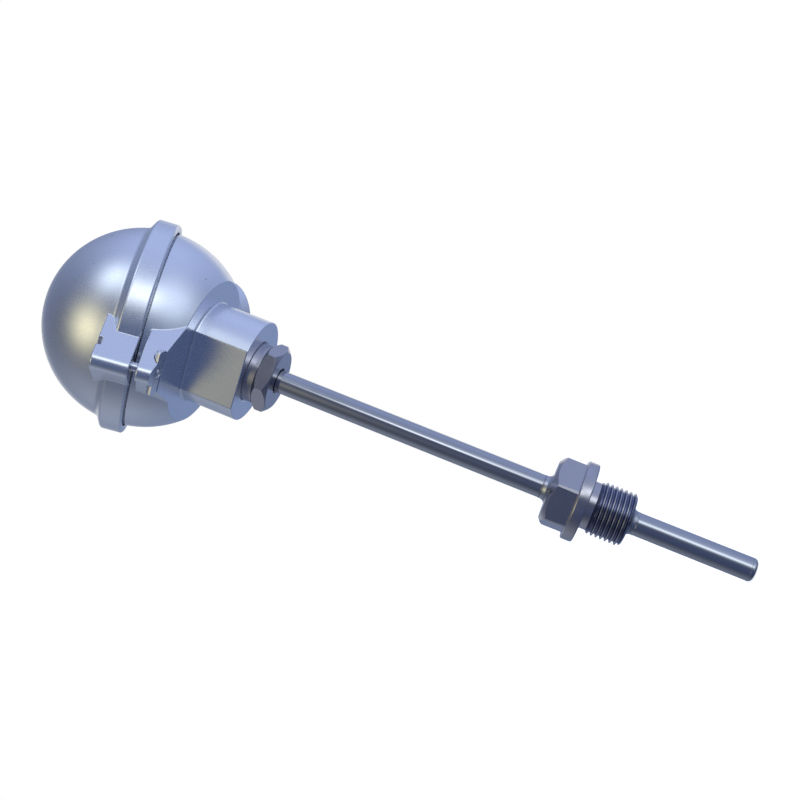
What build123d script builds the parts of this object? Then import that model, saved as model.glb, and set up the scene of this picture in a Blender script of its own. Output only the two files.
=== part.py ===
from build123d import *
import os
from math import cos, radians, sin, sqrt, tan

# Industrial thermometer: a ball-shaped connection head on a neck tube, with a screwed
# process fitting and a spring-loaded measuring insert. Millimetres, +Z up along the stem.
# The origin is on the stem's axis at the sealing face of the process fitting. The cover's
# lug points to -Y, and its hinge and the cable entry to +Y.

# Stem
tube_od = 9.0
tube_wall = 1.0
immersion = 65.2                # sealing face to the tip
neck = 126.9                    # sealing face to the head fitting's hexagon
tip_cap = 2.0                   # thickness of the plug's outer disc
tip_spigot = 2.0                # length of the plug inside the tube
tip_round = 1.4
fit_gap = 0.05                  # radial clearance of turned parts that sit in each other

# Process fitting
thread_d = 20.955
thread_end = 16.9               # sealing face to the end of the thread
thread_chamfer = 1.2
undercut_d = 18.6
undercut_w = 2.9
collar_d = 30.9
collar_h = 4.5
collar_round = 0.7
hex_af = 25.0
hex_h = 10.0
hex_face_r = 11.3               # edge of the chamfered hexagon's flat end
hex_chamfer = 37.0              # degrees
weld_foot = 1.75                # how far a weld bead reaches out on the fitting
weld_run = 3.0                  # and along the tube
weld_edge = 0.12                # thickness of its feathered end
weld_gap = 0.02                 # hairline between a bead and the tube

# Head fitting
nipple_af = 24.0
nipple_hex_h = 6.4
nipple_turn = 24.4              # degrees about the stem
nipple_face_r = 11.6
nipple_chamfer = 38.0
nipple_d = 23.9
nipple_reach = 19.9             # into the boss
nipple_step = 3.8               # plain shoulder that stays in view
nipple_relief_d = 10.6
nipple_relief = 1.2

# Head: ball, stem boss and parting plane
ball_r = 39.5
wall = 4.0
ball_share = 0.6658             # ball's centre above its flat shoulder, as a share of the ball's radius
boss_d = 40.8
boss_length = 21.9
boss_flat = 16.55               # distance of the boss's flat from the stem's axis
boss_root = 0.8                 # fillet where the boss meets the shoulder
boss_edge = 0.6                 # rounding of the flat's two edges
boss_mouth = 0.7
tilt = 18.0                     # of the parting plane, towards the lug
floor = 7.0                     # thickness over the shoulder
spigot_gap = 0.9                # between the body's rim and the cover's skirt
body_drop = 2.9                 # from the rim's face down to the casting's shoulder
gasket_t = 1.5
gasket_w = 3.4
seat_gap = 0.2

# Cover
cover_wall = 3.5
band_r = 42.8
band_low = 2.4                  # band below the parting plane
band_high = 5.8                 # and above it
band_slope = 2.4                # height of the sloped step up to the dome
band_edge = 0.5                 # chamfer of the band's lower edge
band_shoulder = 1.2             # rounding of its upper edge
band_hollow = 2.2               # hollow between the step and the dome

# Lugs, in the plane of the parting face
lug_nose = 50.1                 # centre of the rounded nose
lug_nose_r = 3.55
lug_angle = 58.0                # between a side's normal and the lug's direction
lug_root = 27.0
lug_top = 11.0
lug_under = 2.65                # underside of the cover's lug, below the parting plane
lug_gap = 2.45
lug_round = 0.7
seal_slot_w = 3.1
seal_slot_d = 1.75

# Captive screw and its cross bar
screw_at = 46.7
screw_d = 4.0
screw_core_d = 3.3
screw_head_d = 7.0
screw_head_h = 2.6
screw_slot_w = 1.0
screw_slot_d = 1.2
screw_seat = 4.0                # depth of the counterbore
screw_tip = 0.6
screw_bore_d = 4.6
screw_bore_wall = 0.7           # clearance round the head
screw_end = 12.6                # tip below the parting plane
washer_t = 0.8
washer_d = 8.0
washer_hole_d = 4.3
keeper_at = 8.0                 # top of the keeper below the parting plane
keeper_t = 0.6
keeper_d = 5.4
keeper_mouth = 1.6
groove_d = 2.7
body_lug_bore_d = 6.0
bar_d = 5.2
bar_gap = 0.25
bar_low = 12.4                  # bar's axis below the parting plane
bar_length = 17.0
bar_flat = 0.2                  # the bar's flat behind the lug's end face
bar_round = 0.5
bar_tap_d = 4.2

# Hinge
hinge_at = 48.5
hinge_low = 5.0
pin_d = 4.0
eye_r = 4.2
tongue_w = 11.0
ear_t = 5.2
ear_gap = 0.3
hinge_room = 0.8
pin_gap = 0.05
pin_overhang = 0.8
pin_round = 0.4

# Cable entry
entry_d = 34.0
entry_land = 5.2                # machined end of the boss
entry_step = 0.6
entry_reach = 50.0              # end face's centre from the stem's axis
entry_low = 13.2                # and below the ball's centre
entry_droop = 30.0              # degrees
entry_thread_d = 18.4
entry_thread_l = 12.0
entry_pass_d = 15.0

# Measuring insert
sheath_od = 6.0
sheath_wall = 0.5
sheath_end = 1.2
flange_d = 42.0
flange_t = 1.5
flange_above = 4.0              # flange over the floor while the insert's tip rests on the plug
insert_pitch = 33.0
post_hole_d = 4.6
block_d = 38.0
block_h = 10.0
block_bore_d = 8.0
block_round = 0.8
notch_d = 8.6
terminal_at = 12.5
terminal_w = 6.0
terminal_h = 9.0
terminal_sink = 4.0
terminal_gap = 0.1
terminal_round = 0.4
lead_d = 0.8
lead_at = 1.27
lead_rise = 2.0
lead_bend = 1.5
lead_hole_d = 1.4
rod_gap = 0.15
rod_bore_d = 1.0
rod_above = 2.0                 # the rod's top over the flange
element_d = 4.4
element_l = 9.0
element_gap = 0.2
element_lead = 2.5              # leads in view between element and rod

# Screws of the insert and of the earth terminal
post_d = 4.0
post_head_d = 7.0
post_head_h = 2.6
post_depth = 6.0
post_nut_af = 7.0
post_nut_h = 2.2
post_slot_w = 1.0
post_slot_d = 1.2
spring_d = 7.0
spring_wire = 0.8
spring_length = 12.0
spring_turns = 5.0
spring_wire_sides = 6
clamp_d = 3.0
clamp_head_d = 5.4
clamp_head_h = 1.8
clamp_slot_w = 0.8
clamp_slot_d = 0.9
earth_plate = 7.0
earth_plate_t = 1.0
earth_depth = 5.0
earth_seat_gap = 0.4            # clearance of the spot-faced seat round the plate's corners
earth_seat_h = 6.0

# Heights along the stem
fitting_top = collar_h + hex_h
hex_top = neck + nipple_hex_h
boss_face = hex_top + nipple_step
shoulder_z = boss_face + boss_length
ball_z = shoulder_z + ball_share * ball_r
floor_z = shoulder_z + floor
nipple_top = boss_face + nipple_reach
nipple_corner_r = nipple_af / 2 / cos(radians(30)) + 0.1
bore_r = nipple_d / 2 + fit_gap
tube_r = tube_od / 2
tube_bore_r = tube_r - tube_wall
cap_z = tip_cap - immersion
plug_top = cap_z + tip_spigot
flange_z = floor_z + flange_above
block_z = flange_z + flange_t
block_top = block_z + block_h
spring_top = block_z + spring_length
sheath_z = plug_top
element_z = sheath_z + sheath_end + element_gap
lead_z = element_z + element_l
rod_z = lead_z + element_lead
rod_top = block_z + rod_above
lead_top = block_top + lead_rise
terminal_top = block_top - terminal_sink + terminal_h

# Planes of the cover: its own parting plane, and a section through the hinge and the lug
centre = Vector(0, 0, ball_z)
lean = radians(tilt)
cover_up = Vector(0, -sin(lean), cos(lean))
cover_back = Vector(0, cos(lean), sin(lean))
parting = Plane(origin=centre, x_dir=(1, 0, 0), z_dir=cover_up)
turning = Plane(origin=centre, x_dir=(1, 0, 0), z_dir=-cover_back)
section = Plane(origin=centre, x_dir=cover_back, z_dir=(1, 0, 0))
cover_axis = Axis(centre, cover_up)
stem_axis = Axis.Z

# Radii and places that follow from the ones above
spigot_r = ball_r - 0.3
skirt_r = spigot_r + spigot_gap
seat_z = gasket_t + seat_gap
dome_in_r = ball_r - cover_wall
cavity_r = ball_r - wall
floor_r = sqrt(cavity_r**2 - (ball_z - floor_z) ** 2)
earth_at = (flange_d / 2 + floor_r) / 2
earth_seat_r = earth_plate * sqrt(0.5) + earth_seat_gap
lug_side = lug_nose * cos(radians(lug_angle)) + lug_nose_r
rod_d = sheath_od - 2 * sheath_wall - 2 * rod_gap
screw_seat_z = lug_top - screw_seat
screw_head_z = screw_seat_z + washer_t
droop = radians(entry_droop)
entry_out = Vector(0, cos(droop), -sin(droop))
entry_end = Plane(origin=(0, entry_reach, ball_z - entry_low), x_dir=(1, 0, 0), z_dir=entry_out)


def slotted_screw(place, shank_d, length, head_d, head_h, slot_w, slot_d):
    """Add a slotted screw with its head's underside on the given plane."""
    with BuildSketch(place) as head:
        Circle(head_d / 2)
    extrude(head.sketch, amount=head_h)
    with BuildSketch(place) as shank:
        Circle(shank_d / 2)
    extrude(shank.sketch, amount=-length)
    with BuildSketch(place.offset(head_h)) as slot:
        Rectangle(head_d * 1.2, slot_w)
    extrude(slot.sketch, amount=-slot_d, mode=Mode.SUBTRACT)


def weld_bead(foot_z, run):
    """Revolve a concave bead that climbs from a fitting's face onto the tube."""
    inner_r = tube_r + weld_gap
    foot_r = tube_r + weld_foot
    end_r = tube_r + weld_edge
    belly = (tube_r + 0.3 * weld_foot, foot_z + 0.3 * run)
    with BuildSketch(Plane.XZ) as profile:
        with BuildLine():
            Line((inner_r, foot_z), (foot_r, foot_z))
            ThreePointArc((foot_r, foot_z), belly, (end_r, foot_z + run))
            Line((end_r, foot_z + run), (inner_r, foot_z + run))
            Line((inner_r, foot_z + run), (inner_r, foot_z))
        make_face()
    revolve(profile.sketch, axis=stem_axis)


# Outline of both lugs, seen along the cover's axis: two tapering sides and a rounded nose
side = radians(lug_angle)
foot = (lug_side - lug_root * cos(side)) / sin(side)
touch_x = lug_nose_r * sin(side)
touch_y = -lug_nose - lug_nose_r * cos(side)
with BuildSketch() as lug_outline:
    with BuildLine():
        Line((-foot, -lug_root), (-touch_x, touch_y))
        ThreePointArc((-touch_x, touch_y), (0, -lug_nose - lug_nose_r), (touch_x, touch_y))
        Line((touch_x, touch_y), (foot, -lug_root))
        Line((foot, -lug_root), (-foot, -lug_root))
    make_face()

# Stem tube: one length from the tip plug to the top of the head fitting
with BuildPart() as stem_tube:
    with BuildSketch(Plane.XY.offset(cap_z)):
        Circle(tube_r)
        Circle(tube_bore_r, mode=Mode.SUBTRACT)
    extrude(amount=nipple_top - cap_z)

# Tip plug: a rounded disc with a spigot in the tube
with BuildPart() as tip_plug:
    with BuildSketch(Plane.XY.offset(-immersion)):
        Circle(tube_r)
    extrude(amount=tip_cap)
    fillet(tip_plug.faces().sort_by(Axis.Z)[0].edges(), radius=tip_round)
    with BuildSketch(Plane.XY.offset(cap_z)):
        Circle(tube_bore_r - fit_gap)
    extrude(amount=tip_spigot)

# Process fitting: thread, undercut, collar and hexagon, turned from one bar
with BuildPart() as process_fitting:
    with BuildSketch(Plane.XZ):
        with BuildLine():
            Polyline(
                (0, -thread_end),
                (thread_d / 2 - thread_chamfer, -thread_end),
                (thread_d / 2, -thread_end + thread_chamfer),
                (thread_d / 2, -undercut_w),
                (undercut_d / 2, -undercut_w + (thread_d - undercut_d) / 4),
                (undercut_d / 2, 0),
                (collar_d / 2, 0),
                (collar_d / 2, collar_h),
                (0, collar_h),
                close=True,
            )
        make_face()
    revolve(axis=stem_axis)
    rim_edges = process_fitting.edges().filter_by(GeomType.CIRCLE).filter_by(
        lambda e: abs(e.radius - collar_d / 2) < 0.01
    )
    fillet(rim_edges, radius=collar_round)
    with BuildSketch(Plane.XY.offset(collar_h)):
        RegularPolygon(hex_af / 2, 6, major_radius=False)
    extrude(amount=hex_h)
    with BuildSketch(Plane.XZ):
        with BuildLine():
            Polyline(
                (0, -thread_end),
                (collar_d, -thread_end),
                (collar_d, fitting_top - (collar_d - hex_face_r) * tan(radians(hex_chamfer))),
                (hex_face_r, fitting_top),
                (0, fitting_top),
                close=True,
            )
        make_face()
    revolve(axis=stem_axis, mode=Mode.INTERSECT)
    with Locations((0, 0, fitting_top)):
        Hole(tube_r + fit_gap, depth=fitting_top + thread_end)

# Weld beads on both sides of the fitting
with BuildPart() as upper_weld:
    weld_bead(fitting_top, weld_run)

with BuildPart() as lower_weld:
    weld_bead(-thread_end, -weld_run)

# Head fitting: hexagon with both ends chamfered, and the shank that fills the boss's bore
with BuildPart() as head_fitting:
    with BuildSketch(Plane.XY.offset(neck)):
        RegularPolygon(nipple_af / 2, 6, major_radius=False, rotation=nipple_turn)
    extrude(amount=nipple_hex_h)
    fall = (nipple_corner_r - nipple_face_r) * tan(radians(nipple_chamfer))
    with BuildSketch(Plane.XZ):
        with BuildLine():
            Polyline(
                (0, neck),
                (nipple_face_r, neck),
                (nipple_corner_r, neck + fall),
                (nipple_corner_r, hex_top - fall),
                (nipple_face_r, hex_top),
                (0, hex_top),
                close=True,
            )
        make_face()
    revolve(axis=stem_axis, mode=Mode.INTERSECT)
    with BuildSketch(Plane.XY.offset(hex_top)):
        Circle(nipple_d / 2)
    extrude(amount=nipple_top - hex_top)
    chamfer(head_fitting.faces().sort_by(Axis.Z)[-1].edges(), length=1.0)
    with Locations((0, 0, nipple_top)):
        Hole(tube_r + fit_gap, depth=nipple_top - neck)
    with BuildSketch(Plane.XY.offset(neck)):
        Circle(nipple_relief_d / 2)
    extrude(amount=nipple_relief, mode=Mode.SUBTRACT)

# Head body: the lower part of the ball, cast in one with its bosses, lug and hinge ears
with BuildPart() as head_body:
    with BuildSketch(parting.offset(-lug_under - lug_gap)):
        add(lug_outline.sketch)
    extrude(amount=-ball_r)
    fillet(head_body.faces().sort_by(cover_axis)[-1].edges(), radius=lug_round)
    with Locations(centre):
        Sphere(ball_r)
    split(bisect_by=Plane.XY.offset(shoulder_z), keep=Keep.TOP)
    with BuildSketch(entry_end):
        Circle(entry_d / 2)
    extrude(amount=-entry_land - entry_step)
    with BuildSketch(entry_end.offset(-entry_land)):
        Circle(entry_d / 2 + entry_step)
    extrude(amount=-ball_r / 2)
    split(bisect_by=parting.offset(-body_drop), keep=Keep.BOTTOM)
    with BuildSketch(section.offset(-tongue_w / 2 - ear_gap - ear_t)):
        with BuildLine():
            Polyline(
                (hinge_at - eye_r * 2.9, -body_drop - 2.6),
                (hinge_at - eye_r * sin(radians(25)), -hinge_low + eye_r * cos(radians(25))),
                (hinge_at + eye_r * cos(radians(20)), -hinge_low - eye_r * sin(radians(20))),
                (hinge_at - 2.0, -hinge_low - 3 * eye_r),
                (hinge_at - eye_r * 2.9, -hinge_low - 3 * eye_r),
                close=True,
            )
        make_face()
        with Locations((hinge_at, -hinge_low)):
            Circle(eye_r)
    extrude(amount=tongue_w + 2 * ear_gap + 2 * ear_t)
    with BuildSketch(section.offset(-tongue_w / 2 - ear_gap)):
        with Locations((ball_r + 0.4 + ball_r / 2, -hinge_low - eye_r - hinge_room + ball_r / 2)):
            Rectangle(ball_r, ball_r)
    extrude(amount=tongue_w + 2 * ear_gap, mode=Mode.SUBTRACT)
    with BuildSketch(Plane.XY.offset(boss_face)):
        Circle(boss_d / 2)
        with Locations((0, -boss_flat - boss_d / 2)):
            Rectangle(2 * boss_d, boss_d, mode=Mode.SUBTRACT)
    extrude(amount=shoulder_z - boss_face)
    flat_edges = head_body.edges().filter_by(Axis.Z).filter_by(lambda e: abs(e.center().Y + boss_flat) < 0.01)
    fillet(flat_edges, radius=boss_edge)
    with BuildSketch(Plane.XY.offset(shoulder_z)):
        Circle(boss_d / 2)
    extrude(amount=floor)
    root_edges = head_body.faces().filter_by(Plane.XY).filter_by(
        lambda f: abs(f.center().Z - shoulder_z) < 0.01
    ).edges().filter_by(lambda e: sqrt(e.center().X ** 2 + e.center().Y ** 2) < boss_d / 2 - 0.01)
    fillet(root_edges, radius=boss_root)
    with BuildSketch(turning):
        with BuildLine():
            Polyline(
                (cavity_r - 1, -body_drop - 2),
                (spigot_r - 0.6, -body_drop - 2),
                (spigot_r, -body_drop),
                (spigot_r, 0),
                (cavity_r - 1, 0),
                close=True,
            )
        make_face()
    revolve(axis=cover_axis)
    # Wiring space above the floor
    with BuildSketch(Plane.XZ):
        with BuildLine():
            Line((0, floor_z), (floor_r, floor_z))
            ThreePointArc((floor_r, floor_z), (cavity_r, ball_z), (0, ball_z + cavity_r))
            Line((0, ball_z + cavity_r), (0, floor_z))
        make_face()
    revolve(axis=stem_axis, mode=Mode.SUBTRACT)
    # Bore of the stem boss, with a chamfered mouth
    with Locations((0, 0, floor_z)):
        Hole(bore_r, depth=floor_z - boss_face)
    mouth = head_body.edges().filter_by(GeomType.CIRCLE).filter_by_position(
        Axis.Z, boss_face - 0.01, boss_face + 0.01
    ).filter_by(lambda e: abs(e.radius - bore_r) < 0.01)
    chamfer(mouth, length=boss_mouth)
    # Cable entry: a threaded length, then a plain way into the head
    with BuildSketch(entry_end):
        Circle(entry_thread_d / 2)
    extrude(amount=-entry_thread_l, mode=Mode.SUBTRACT)
    with BuildSketch(entry_end):
        Circle(entry_pass_d / 2)
    extrude(amount=-ball_r, mode=Mode.SUBTRACT)
    # Lug: screw hole and the cross hole that opens into the end face
    with BuildSketch(parting.offset(-lug_under - lug_gap)):
        with Locations((0, -screw_at)):
            Circle(body_lug_bore_d / 2)
    extrude(amount=-ball_r / 2, mode=Mode.SUBTRACT)
    with BuildSketch(section.offset(-bar_length)):
        with Locations((-screw_at, -bar_low)):
            Circle(bar_d / 2 + bar_gap)
    extrude(amount=2 * bar_length, mode=Mode.SUBTRACT)
    # Hinge pin's hole
    with BuildSketch(section.offset(-tongue_w)):
        with Locations((hinge_at, -hinge_low)):
            Circle(pin_d / 2 + pin_gap / 2)
    extrude(amount=2 * tongue_w, mode=Mode.SUBTRACT)
    # Tapped holes in the floor
    with BuildSketch(Plane.XY.offset(floor_z)):
        with Locations((-insert_pitch / 2, 0), (insert_pitch / 2, 0)):
            Circle(post_d / 2 + fit_gap)
    extrude(amount=-post_depth, mode=Mode.SUBTRACT)
    with BuildSketch(Plane.XY.offset(floor_z)):
        with Locations((0, -earth_at)):
            Circle(post_d / 2 + fit_gap)
    extrude(amount=-earth_depth, mode=Mode.SUBTRACT)
    with BuildSketch(Plane.XY.offset(floor_z)):
        with Locations((0, -earth_at)):
            Circle(earth_seat_r)
    extrude(amount=earth_seat_h, mode=Mode.SUBTRACT)

# Cover: dome, overhanging rim band, lug and hinge tongue, cast in one
with BuildPart() as cover:
    step_z = band_high + band_slope
    step_r = sqrt(ball_r**2 - step_z**2)
    half = sqrt(0.5) * ball_r
    with BuildSketch(parting.offset(-lug_under)):
        add(lug_outline.sketch)
    extrude(amount=lug_under + lug_top)
    lug_faces = cover.faces().sort_by(cover_axis)
    fillet(lug_faces[0].edges() + lug_faces[-1].edges(), radius=lug_round)
    with BuildSketch(turning) as profile:
        with BuildLine():
            Line((0, -band_low), (band_r, -band_low))
            Line((band_r, -band_low), (band_r, band_high))
            Line((band_r, band_high), (step_r, step_z))
            ThreePointArc((step_r, step_z), (half, half), (0, ball_r))
            Line((0, ball_r), (0, -band_low))
        make_face()
        chamfer(profile.vertices().sort_by_distance((band_r, -band_low, 0))[0], length=band_edge)
        fillet(profile.vertices().sort_by_distance((band_r, band_high, 0))[0], radius=band_shoulder)
        fillet(profile.vertices().sort_by_distance((step_r, step_z, 0))[0], radius=band_hollow)
    revolve(axis=cover_axis)
    with BuildSketch(section.offset(-tongue_w / 2)):
        with BuildLine():
            Polyline(
                (band_r - 1.5, 0.2 - band_low),
                (hinge_at - eye_r * cos(radians(60)), -hinge_low - eye_r * sin(radians(60))),
                (hinge_at + eye_r * cos(radians(35)), -hinge_low + eye_r * sin(radians(35))),
                (band_r + 1.6, band_high - 1.2),
                (band_r - 1.5, band_high - 1.2),
                close=True,
            )
        make_face()
        with Locations((hinge_at, -hinge_low)):
            Circle(eye_r)
    extrude(amount=tongue_w)
    # Hollow dome, seat of the gasket and inside of the skirt
    seat_in = sqrt(dome_in_r**2 - seat_z**2)
    half_in = sqrt(0.5) * dome_in_r
    with BuildSketch(turning):
        with BuildLine():
            Polyline((0, -ball_r), (skirt_r, -ball_r), (skirt_r, seat_z), (seat_in, seat_z))
            ThreePointArc((seat_in, seat_z), (half_in, half_in), (0, dome_in_r))
            Line((0, dome_in_r), (0, -ball_r))
        make_face()
    revolve(axis=cover_axis, mode=Mode.SUBTRACT)
    # Screw: counterbore, through hole and the slot for the sealing wire
    with BuildSketch(parting.offset(lug_top)):
        with Locations((0, -screw_at)):
            Circle(screw_head_d / 2 + screw_bore_wall)
    extrude(amount=-screw_seat, mode=Mode.SUBTRACT)
    with BuildSketch(parting.offset(lug_top)):
        with Locations((0, -screw_at)):
            Circle(screw_bore_d / 2)
    extrude(amount=-lug_top - lug_under, mode=Mode.SUBTRACT)
    with BuildSketch(parting.offset(lug_top)):
        with Locations((boss_d / 4, -screw_at)):
            Rectangle(boss_d / 2, seal_slot_w)
    extrude(amount=-seal_slot_d, mode=Mode.SUBTRACT)
    with BuildSketch(section.offset(-tongue_w)):
        with Locations((hinge_at, -hinge_low)):
            Circle(pin_d / 2 + pin_gap)
    extrude(amount=2 * tongue_w, mode=Mode.SUBTRACT)

# Gasket on the body's rim
with BuildPart() as cover_gasket:
    with BuildSketch(parting):
        Circle(spigot_r)
        Circle(spigot_r - gasket_w, mode=Mode.SUBTRACT)
    extrude(amount=gasket_t)

# Hinge pin
with BuildPart() as hinge_pin:
    pin_half = tongue_w / 2 + ear_gap + ear_t + pin_overhang
    with BuildSketch(section.offset(-pin_half)):
        with Locations((hinge_at, -hinge_low)):
            Circle(pin_d / 2)
    extrude(amount=2 * pin_half)
    chamfer(hinge_pin.edges().filter_by(GeomType.CIRCLE), length=pin_round)

# Cross bar: a half-round pin with a tapped hole, held in the groove of the body's lug
with BuildPart() as latch_bar:
    with BuildSketch(section.offset(-bar_length / 2)):
        with Locations((-screw_at, -bar_low)):
            Circle(bar_d / 2)
    extrude(amount=bar_length)
    chamfer(latch_bar.edges().filter_by(GeomType.CIRCLE), length=bar_round)
    split(bisect_by=Plane.XY.offset(shoulder_z + bar_flat), keep=Keep.TOP)
    with BuildSketch(parting):
        with Locations((0, -screw_at)):
            Circle(bar_tap_d / 2)
    extrude(amount=-ball_r, mode=Mode.SUBTRACT)

# Cover screw with the groove for its keeper
with BuildPart() as cover_screw:
    screw_place = Plane(
        origin=parting.from_local_coords(Vector(0, -screw_at, screw_head_z)), x_dir=(1, 0, 0), z_dir=cover_up
    )
    slotted_screw(
        screw_place,
        screw_core_d,
        screw_head_z + screw_end,
        screw_head_d,
        screw_head_h,
        screw_slot_w,
        screw_slot_d,
    )
    chamfer(cover_screw.faces().sort_by(cover_axis)[0].edges(), length=screw_tip)
    with BuildSketch(parting.offset(-keeper_at + fit_gap)):
        with Locations((0, -screw_at)):
            Circle(screw_core_d)
            Circle(groove_d / 2, mode=Mode.SUBTRACT)
    extrude(amount=-keeper_t - 2 * fit_gap, mode=Mode.SUBTRACT)

# Washer under the cover screw's head
with BuildPart() as screw_washer:
    with BuildSketch(parting.offset(screw_seat_z)):
        with Locations((0, -screw_at)):
            Circle(washer_d / 2)
            Circle(washer_hole_d / 2, mode=Mode.SUBTRACT)
    extrude(amount=washer_t)

# Keeper: an open ring clipped into the screw's groove
with BuildPart() as screw_keeper:
    with BuildSketch(parting.offset(-keeper_at)):
        with Locations((0, -screw_at)):
            Circle(keeper_d / 2)
            Circle(groove_d / 2 + fit_gap, mode=Mode.SUBTRACT)
        with Locations((0, -screw_at + keeper_d / 2)):
            Rectangle(keeper_mouth, keeper_d, mode=Mode.SUBTRACT)
    extrude(amount=-keeper_t)

# Measuring insert: flange, thin sheath with a closed end, and what is in it
with BuildPart() as insert_flange:
    with BuildSketch(Plane.XY.offset(flange_z)):
        Circle(flange_d / 2)
        Circle(sheath_od / 2 + fit_gap, mode=Mode.SUBTRACT)
        with Locations((-insert_pitch / 2, 0), (insert_pitch / 2, 0)):
            Circle(post_hole_d / 2, mode=Mode.SUBTRACT)
    extrude(amount=flange_t)

with BuildPart() as insert_sheath:
    with BuildSketch(Plane.XY.offset(sheath_z)):
        Circle(sheath_od / 2)
    extrude(amount=block_z - sheath_z)
    with BuildSketch(Plane.XY.offset(sheath_z + sheath_end)):
        Circle(sheath_od / 2 - sheath_wall)
    extrude(amount=block_z - sheath_z, mode=Mode.SUBTRACT)
    chamfer(insert_sheath.faces().sort_by(Axis.Z)[0].edges(), length=sheath_wall)

with BuildPart() as sensing_element:
    with BuildSketch(Plane.XY.offset(element_z)):
        Circle(element_d / 2)
    extrude(amount=element_l)
    fillet(sensing_element.faces().sort_by(Axis.Z)[-1].edges(), radius=terminal_round)

with BuildPart() as insulator_rod:
    with BuildSketch(Plane.XY.offset(rod_z)):
        Circle(rod_d / 2)
        with PolarLocations(lead_at, 4, start_angle=45):
            Circle(rod_bore_d / 2, mode=Mode.SUBTRACT)
    extrude(amount=rod_top - rod_z)

# Leads: up through the rod, over the block and into the terminals
with BuildPart() as lead_wires:
    diagonal = sqrt(0.5)
    for turn_x, turn_y in ((1, 1), (-1, 1), (-1, -1), (1, -1)):
        ux, uy = turn_x * diagonal, turn_y * diagonal
        with BuildLine() as run:
            FilletPolyline(
                (lead_at * ux, lead_at * uy, lead_z),
                (lead_at * ux, lead_at * uy, lead_top),
                (terminal_at * ux, terminal_at * uy, lead_top),
                radius=lead_bend,
            )
        with BuildSketch(Plane(origin=run.line @ 0, z_dir=run.line % 0)):
            Circle(lead_d / 2)
        sweep(path=run.line)

with BuildPart() as terminal_block:
    with BuildSketch(Plane.XY.offset(block_z)):
        Circle(block_d / 2)
        Circle(block_bore_d / 2, mode=Mode.SUBTRACT)
        for side_x in (-1, 1):
            with Locations((side_x * insert_pitch / 2, 0)):
                Circle(notch_d / 2, mode=Mode.SUBTRACT)
            with Locations((side_x * (insert_pitch + block_d) / 2, 0)):
                Rectangle(block_d, notch_d, mode=Mode.SUBTRACT)
    extrude(amount=block_h)
    rim = terminal_block.edges().filter_by(GeomType.CIRCLE).filter_by(lambda e: abs(e.radius - block_d / 2) < 0.01)
    fillet(rim.group_by(Axis.Z)[-1], radius=block_round)
    with BuildSketch(Plane.XY.offset(block_top)):
        with PolarLocations(terminal_at, 4, start_angle=45):
            Rectangle(terminal_w + 2 * terminal_gap, terminal_w + 2 * terminal_gap)
    extrude(amount=-terminal_sink, mode=Mode.SUBTRACT)

with BuildPart() as terminals:
    with BuildSketch(Plane.XY.offset(block_top - terminal_sink)):
        with PolarLocations(terminal_at, 4, start_angle=45):
            Rectangle(terminal_w, terminal_w)
    extrude(amount=terminal_h)
    chamfer(terminals.faces().group_by(Axis.Z)[-1].edges(), length=terminal_round)
    with BuildSketch(Plane.XY.offset(terminal_top)):
        with PolarLocations(terminal_at, 4, start_angle=45):
            Circle(clamp_d / 2 + fit_gap)
    extrude(amount=lead_top - terminal_top, mode=Mode.SUBTRACT)
    for turn in (45, 135, 225, 315):
        with BuildSketch(Plane(origin=(0, 0, lead_top), z_dir=Vector(1, 0, 0).rotate(Axis.Z, turn))):
            Circle(lead_hole_d / 2)
        extrude(amount=terminal_at + terminal_w, mode=Mode.SUBTRACT)

with BuildPart() as terminal_screws:
    for place in PolarLocations(terminal_at, 4, start_angle=45):
        slotted_screw(
            Plane(place).offset(terminal_top),
            clamp_d,
            terminal_top - lead_top - lead_d / 2,
            clamp_head_d,
            clamp_head_h,
            clamp_slot_w,
            clamp_slot_d,
        )

# Screws that hold the insert, with their locking nuts and springs
with BuildPart() as insert_screws:
    for side_x in (-1, 1):
        slotted_screw(
            Plane(origin=(side_x * insert_pitch / 2, 0, spring_top)),
            post_d,
            spring_top - floor_z + post_depth,
            post_head_d,
            post_head_h,
            post_slot_w,
            post_slot_d,
        )

with BuildPart() as insert_screw_nuts:
    with BuildSketch(Plane.XY.offset(floor_z)):
        with Locations((-insert_pitch / 2, 0), (insert_pitch / 2, 0)):
            RegularPolygon(post_nut_af / 2, 6, major_radius=False)
            Circle(post_d / 2 + fit_gap, mode=Mode.SUBTRACT)
    extrude(amount=post_nut_h)

with BuildPart() as insert_springs:
    coil_r = (spring_d - spring_wire) / 2
    for side_x in (-1, 1):
        with BuildLine() as coil:
            Helix(
                pitch=(spring_length - spring_wire) / spring_turns,
                height=spring_length - spring_wire,
                radius=coil_r,
                center=(side_x * insert_pitch / 2, 0, block_z + spring_wire / 2),
            )
        with BuildSketch(Plane(origin=coil.line @ 0, z_dir=coil.line % 0)):
            RegularPolygon(spring_wire / 2, spring_wire_sides)
        sweep(path=coil.line, is_frenet=True)

# Earth terminal on the floor
with BuildPart() as ground_washer:
    with BuildSketch(Plane.XY.offset(floor_z)):
        with Locations((0, -earth_at)):
            Rectangle(earth_plate, earth_plate)
            Circle(post_d / 2 + 2 * fit_gap, mode=Mode.SUBTRACT)
    extrude(amount=earth_plate_t)

with BuildPart() as ground_screw:
    slotted_screw(
        Plane(origin=(0, -earth_at, floor_z + earth_plate_t)),
        post_d,
        earth_plate_t + earth_depth,
        post_head_d,
        post_head_h,
        post_slot_w,
        post_slot_d,
    )

# One closed solid, or group of equal solids, per file
os.makedirs("parts", exist_ok=True)

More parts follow.
